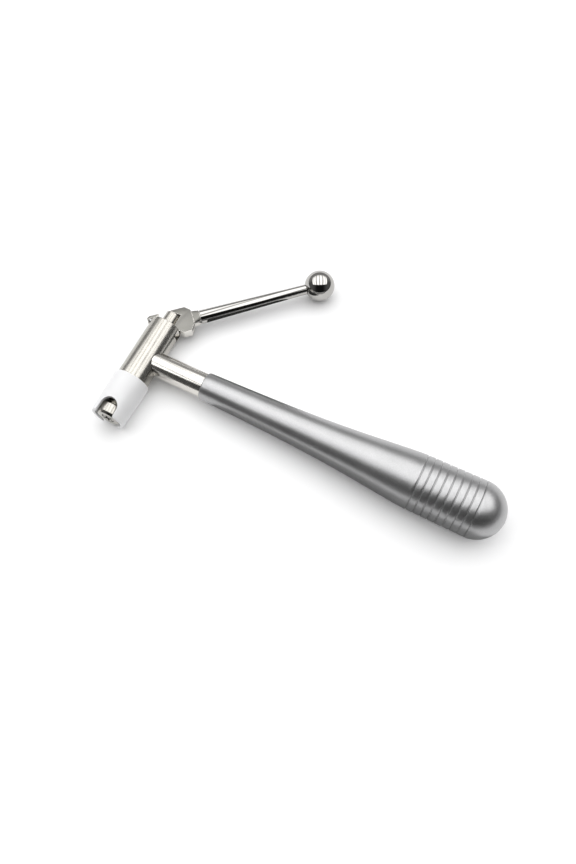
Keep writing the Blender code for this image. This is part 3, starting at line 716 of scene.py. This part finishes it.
def painted_shade_card(name, corners, shade):
    """Painted shade: a dark card lying in front of a piece that only reflections show, standing in for the
    shaded table in the piece's reflection.
    """
    mesh = bpy.data.meshes.new(name)
    points = []
    for x, y in corners:
        points.append((x, y, TABLE_HEIGHT + SHADE_CARD_LIFT + TABLE_SLOPE_X * x + TABLE_SLOPE_Y * y))
    mesh.from_pydata(points, [], [range(len(points))])
    shade_card = bpy.data.objects.new(name, mesh)
    shade_card.location = HUB
    shade_card.scale = (MM, MM, MM)
    bpy.context.scene.collection.objects.link(shade_card)
    nodes = Nodes(name)
    cloud = nodes.noise(nodes.scaled((0.02, 0.02, 0.02)), 1.0, 2.0)
    stops = [(0.3, (shade * 0.9,) * 3), (0.7, (shade * 1.1,) * 3)]
    nodes.link(nodes.ramp(cloud, stops), nodes.shader.inputs["Base Color"])
    nodes.set(rough=0.9)
    mesh.materials.append(nodes.material)
    shade_card.visible_camera = False
    shade_card.visible_diffuse = False
    shade_card.visible_shadow = False
    shade_card.visible_transmission = False


class Sky:
    """Node calls on the direction that a ray leaves in, for the studio round the table."""

    def __init__(self):
        world = bpy.data.worlds.new("studio")
        world.use_nodes = True
        bpy.context.scene.world = world
        self.tree = world.node_tree
        self.direction = self.tree.nodes.new("ShaderNodeTexCoord").outputs["Generated"]

    def along(self, axis):
        node = self.tree.nodes.new("ShaderNodeVectorMath")
        node.operation = "DOT_PRODUCT"
        self.tree.links.new(self.direction, node.inputs[0])
        node.inputs[1].default_value = axis
        return node.outputs["Value"]

    def math(self, operation, *values):
        node = self.tree.nodes.new("ShaderNodeMath")
        node.operation = operation
        for value, socket in zip(values, node.inputs):
            if isinstance(value, (int, float)):
                socket.default_value = value
            else:
                self.tree.links.new(value, socket)
        return node.outputs["Value"]

    def step(self, value, start, end):
        """Rises smoothly from 0 at start to 1 at end."""
        node = self.tree.nodes.new("ShaderNodeMapRange")
        node.interpolation_type = "SMOOTHSTEP"
        node.inputs["From Min"].default_value = min(start, end)
        node.inputs["From Max"].default_value = max(start, end)
        node.inputs["To Min"].default_value = 0 if start < end else 1
        node.inputs["To Max"].default_value = 1 if start < end else 0
        self.tree.links.new(value, node.inputs["Value"])
        return node.outputs["Result"]


def studio():
    """An overhead panel of parallel strips, a grey wall behind it, and a dark room on the camera's side.

    The camera itself sees plain white past the table."""
    sky = Sky()
    turn = math.radians(CAMERA_AZIMUTH)
    right = sky.along((math.cos(turn), math.sin(turn), 0))
    rear = sky.along((-math.sin(turn), math.cos(turn), 0))
    height = sky.math("MAXIMUM", sky.along((0, 0, 1)), 0.03)
    across = sky.math("DIVIDE", right, height)
    back = sky.math("DIVIDE", rear, height)
    curve = sky.math("MULTIPLY", sky.math("MULTIPLY", across, across), PANEL_CURVE)
    front_edge = sky.math("SUBTRACT", back, curve)
    panel = sky.step(front_edge, PANEL_FRONT - 0.05, PANEL_FRONT + 0.05)
    for edge in (
        sky.step(back, PANEL_REAR + 0.25, PANEL_REAR - 0.25),
        sky.step(across, PANEL_LEFT - 0.15, PANEL_LEFT + 0.15),
        sky.step(across, PANEL_RIGHT + 0.12, PANEL_RIGHT - 0.12),
    ):
        panel = sky.math("MULTIPLY", panel, edge)
    for at, width, depth in PANEL_GAPS:
        distance = sky.math("ABSOLUTE", sky.math("SUBTRACT", across, at))
        gap = sky.math("MULTIPLY", sky.step(distance, width, width * 0.35), depth)
        panel = sky.math("MULTIPLY", panel, sky.math("SUBTRACT", 1.0, gap))
    fade = sky.math("SUBTRACT", 1.0, sky.math("MULTIPLY", sky.step(back, 0.3, PANEL_REAR), PANEL_FADE))
    panel = sky.math("MULTIPLY", sky.math("MULTIPLY", panel, fade), PANEL_LIGHT)
    wall = sky.math("MULTIPLY", sky.step(rear, -0.25, 0.75), WALL_LIGHT)
    sides = sky.math("MULTIPLY", sky.step(sky.math("ABSOLUTE", right), 0.35, 0.95), SIDE_LIGHT)
    total = sky.math("ADD", panel, sky.math("ADD", sky.math("MAXIMUM", wall, sides), ROOM_LIGHT))
    is_camera = sky.tree.nodes.new("ShaderNodeLightPath").outputs["Is Camera Ray"]
    seen = sky.math("MULTIPLY", sky.math("SUBTRACT", 1.0, total), is_camera)
    background = sky.tree.nodes["Background"]
    background.inputs["Color"].default_value = (1, 1, 1, 1)
    sky.tree.links.new(sky.math("ADD", total, seen), background.inputs["Strength"])


def camera():
    a, e, r = (math.radians(angle) for angle in (CAMERA_AZIMUTH, CAMERA_ELEVATION, CAMERA_ROLL))
    back = Vector((math.sin(a) * math.cos(e), -math.cos(a) * math.cos(e), math.sin(e)))
    level = Vector((math.cos(a), math.sin(a), 0))
    above = back.cross(level)
    right = level * math.cos(r) + above * math.sin(r)
    up = above * math.cos(r) - level * math.sin(r)
    data = bpy.data.cameras.new("camera")
    data.sensor_width = SENSOR
    data.lens = FOCAL_PIXELS * SENSOR / LONG_SIDE_PIXELS
    data.clip_start, data.clip_end = 0.01, 20
    holder = bpy.data.objects.new("camera", data)
    bpy.context.scene.collection.objects.link(holder)
    turn = Matrix((right, up, back)).transposed().to_4x4()
    holder.matrix_world = Matrix.Translation(HUB + CAMERA_PLACE * MM) @ turn
    bpy.context.scene.camera = holder


table()
# Painted shade in the reflections of the grip and the rod.
painted_shade_card("grip_painted_shade", GRIP_SHADE_CARD, GRIP_SHADE_CARD_TONE)
painted_shade_card("rod_painted_shade", [lever_point(s, n).xy for s, n in ROD_SHADE_CARD], ROD_SHADE_CARD_TONE)
studio()
camera()
bpy.context.scene.view_settings.view_transform = "Standard"
